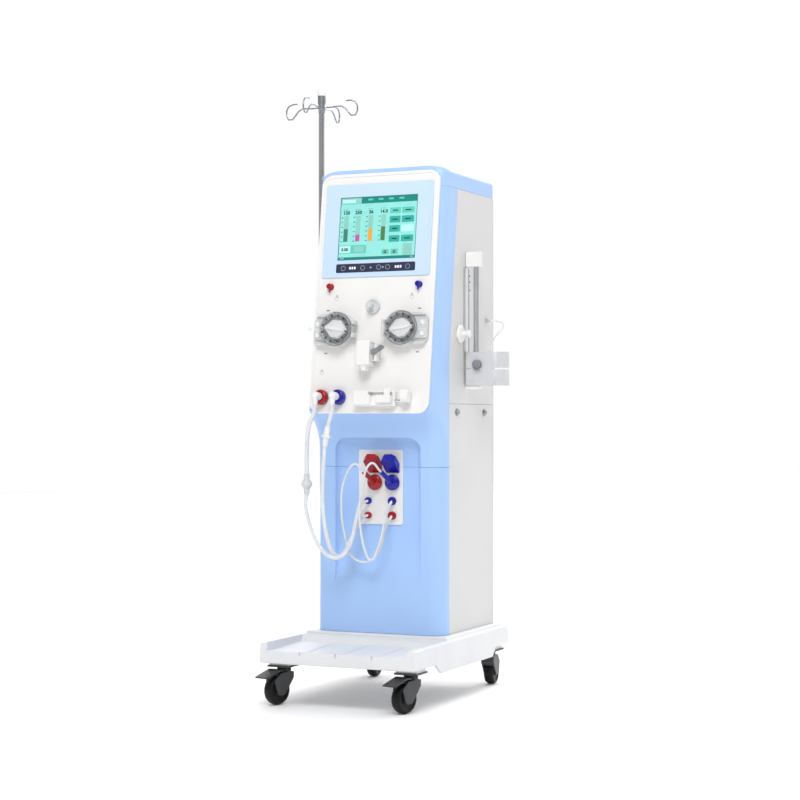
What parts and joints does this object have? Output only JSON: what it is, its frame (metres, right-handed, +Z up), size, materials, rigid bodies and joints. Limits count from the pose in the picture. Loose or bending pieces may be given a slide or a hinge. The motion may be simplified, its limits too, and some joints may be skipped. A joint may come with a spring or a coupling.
{
  "type": "dialysis machine",
  "caption": "Upright dialysis machine on casters with a leaning touch-screen head, blood pumps, tray, infusion pole and hoses.",
  "frame": {"origin": "centre of the machine's outline on the floor, measured without its hoses and lead", "axes": "+Z up, -Y towards the user who faces the screen, +X towards that user's right"},
  "size_m": [0.6112, 0.6732, 1.6183],
  "materials": {
    "cover_blue": "satin",
    "sheet_white": "satin",
    "frame_steel": "satin",
    "moulding_white": "satin",
    "bezel_blue": "satin",
    "screen_glass": "gloss",
    "fitting_grey": "matte",
    "caster_grey": "satin",
    "wheel_black": "matte",
    "connector_red": "gloss",
    "connector_blue": "gloss",
    "hose_clear": "gloss",
    "door_clear": "gloss",
    "chrome": "polished"
  },
  "bodies": {
    "machine": {"base_tray": "moulding_white", "cabinet_frame": "frame_steel", "chamber_port": "fitting_grey", "connector_plate": "moulding_white", "coupling_blue": "connector_blue", "coupling_red": "connector_red", "detector_body": "moulding_white", "dialysate_hose_return": "hose_clear", "dialysate_hose_supply": "hose_clear", "display_bezel": "bezel_blue", "display_screen": "screen_glass", "elbow_blue": "hose_clear", "elbow_red": "hose_clear", "front_panel": "moulding_white", "holder_rail": "chrome", "hose_joint_return": "moulding_white", "hose_joint_supply": "fitting_grey", "line_hook": "moulding_white", "lower_front_cover": "cover_blue", "pole_sleeve": "frame_steel", "pressure_port_blue": "connector_blue", "pressure_port_red": "connector_red", "pump_housing_left": "fitting_grey", "pump_housing_right": "fitting_grey", "rear_panel": "sheet_white", "sensor_lead": "hose_clear", "side_panel_left_lower": "sheet_white", "side_panel_left_upper": "sheet_white", "side_panel_right_lower": "sheet_white", "side_panel_right_upper": "sheet_white", "syringe_cradle": "moulding_white", "top_cap": "cover_blue", "upper_front_cover": "cover_blue", "wand_blue": "connector_blue", "wand_hose_blue": "hose_clear", "wand_hose_red": "hose_clear", "wand_red": "connector_red"},
    "caster_front_left": {"caster_fork_front_left": "caster_grey"},
    "wheel_front_left": {"caster_wheel_front_left": "wheel_black"},
    "pedal_front_left": {"brake_pedal_front_left": "caster_grey"},
    "caster_front_right": {"caster_fork_front_right": "caster_grey"},
    "wheel_front_right": {"caster_wheel_front_right": "wheel_black"},
    "pedal_front_right": {"brake_pedal_front_right": "caster_grey"},
    "caster_rear_left": {"caster_fork_rear_left": "caster_grey"},
    "wheel_rear_left": {"caster_wheel_rear_left": "wheel_black"},
    "caster_rear_right": {"caster_fork_rear_right": "caster_grey"},
    "wheel_rear_right": {"caster_wheel_rear_right": "wheel_black"},
    "pump_rotor_left": {"pump_rotor_left": "moulding_white"},
    "pump_door_left": {"pump_door_left": "door_clear"},
    "pump_rotor_right": {"pump_rotor_right": "moulding_white"},
    "pump_door_right": {"pump_door_right": "door_clear"},
    "detector_lever": {"detector_lever": "fitting_grey"},
    "syringe_clamp": {"syringe_clamp": "moulding_white"},
    "syringe_pusher": {"syringe_pusher": "moulding_white"},
    "lid_red": {"lid_red": "connector_red"},
    "lid_blue": {"lid_blue": "connector_blue"},
    "pole": {"pole_tube": "chrome", "pole_hooks": "chrome"},
    "holder": {"dialyser_holder": "moulding_white"},
    "holder_knob": {"holder_knob": "fitting_grey"}
  },
  "joints": [
    {"name": "swivel_front_left", "type": "hinge", "parent": "machine", "child": "caster_front_left", "pos_m": [-0.168, -0.2476, 0.09], "axis": [0, 0, 1], "continuous": true},
    {"name": "wheel_spin_front_left", "type": "hinge", "parent": "caster_front_left", "child": "wheel_front_left", "pos_m": [-0.17499, -0.27368, 0.0375], "axis": [0.9659, -0.2588, 0], "continuous": true},
    {"name": "pedal_press_front_left", "type": "hinge", "parent": "caster_front_left", "child": "pedal_front_left", "pos_m": [-0.17395, -0.26982, 0.086], "axis": [0.9659, -0.2588, 0], "range_deg": [0, 10]},
    {"name": "swivel_front_right", "type": "hinge", "parent": "machine", "child": "caster_front_right", "pos_m": [0.188, -0.2476, 0.09], "axis": [0, 0, 1], "continuous": true},
    {"name": "wheel_spin_front_right", "type": "hinge", "parent": "caster_front_right", "child": "wheel_front_right", "pos_m": [0.18101, -0.27368, 0.0375], "axis": [0.9659, -0.2588, 0], "continuous": true},
    {"name": "pedal_press_front_right", "type": "hinge", "parent": "caster_front_right", "child": "pedal_front_right", "pos_m": [0.18205, -0.26982, 0.086], "axis": [0.9659, -0.2588, 0], "range_deg": [0, 10]},
    {"name": "swivel_rear_left", "type": "hinge", "parent": "machine", "child": "caster_rear_left", "pos_m": [-0.168, 0.2724, 0.09], "axis": [0, 0, 1], "continuous": true},
    {"name": "wheel_spin_rear_left", "type": "hinge", "parent": "caster_rear_left", "child": "wheel_rear_left", "pos_m": [-0.17129, 0.2992, 0.0375], "axis": [-0.9925, -0.1219, 0], "continuous": true},
    {"name": "swivel_rear_right", "type": "hinge", "parent": "machine", "child": "caster_rear_right", "pos_m": [0.188, 0.2724, 0.09], "axis": [0, 0, 1], "continuous": true},
    {"name": "wheel_spin_rear_right", "type": "hinge", "parent": "caster_rear_right", "child": "wheel_rear_right", "pos_m": [0.18471, 0.2992, 0.0375], "axis": [-0.9925, -0.1219, 0], "continuous": true},
    {"name": "rotor_turn_left", "type": "hinge", "parent": "machine", "child": "pump_rotor_left", "pos_m": [-0.083, -0.09689, 0.95918], "axis": [0, -0.9917, 0.1288], "continuous": true},
    {"name": "door_open_left", "type": "hinge", "parent": "machine", "child": "pump_door_left", "pos_m": [-0.033, -0.12565, 0.96291], "axis": [0, 0.1288, 0.9917], "range_deg": [0, 100]},
    {"name": "rotor_turn_right", "type": "hinge", "parent": "machine", "child": "pump_rotor_right", "pos_m": [0.103, -0.09689, 0.95918], "axis": [0, -0.9917, 0.1288], "continuous": true},
    {"name": "door_open_right", "type": "hinge", "parent": "machine", "child": "pump_door_right", "pos_m": [0.053, -0.12565, 0.96291], "axis": [0, -0.1288, -0.9917], "range_deg": [0, 100]},
    {"name": "lever_turn", "type": "hinge", "parent": "machine", "child": "detector_lever", "pos_m": [0.032, -0.13667, 0.8998], "axis": [0, -0.9917, 0.1288], "range_deg": [-50, 0]},
    {"name": "clamp_pull", "type": "slide", "parent": "machine", "child": "syringe_clamp", "axis": [0, -0.9917, 0.1288], "range_m": [0, 0.014], "stiffness_N_per_m": 500, "springref_m": -0.004},
    {"name": "pusher_travel", "type": "slide", "parent": "machine", "child": "syringe_pusher", "axis": [1, 0, 0], "range_m": [-0.018, 0.045]},
    {"name": "lid_lift_red", "type": "hinge", "parent": "machine", "child": "lid_red", "pos_m": [-0.0045, -0.0487, 0.633], "axis": [-1, 0, 0], "range_deg": [0, 55]},
    {"name": "lid_lift_blue", "type": "hinge", "parent": "machine", "child": "lid_blue", "pos_m": [0.046, -0.0487, 0.633], "axis": [-1, 0, 0], "range_deg": [0, 55]},
    {"name": "pole_raise", "type": "slide", "parent": "machine", "child": "pole", "axis": [0, 0, 1], "range_m": [-0.1, 0.2]},
    {"name": "holder_slide", "type": "slide", "parent": "machine", "child": "holder", "axis": [0, 0, 1], "range_m": [0, 0.215]},
    {"name": "knob_turn", "type": "hinge", "parent": "holder", "child": "holder_knob", "pos_m": [0.232, 0.0831, 0.8713], "axis": [0, -1, 0], "range_deg": [-180, 180]}
  ]
}
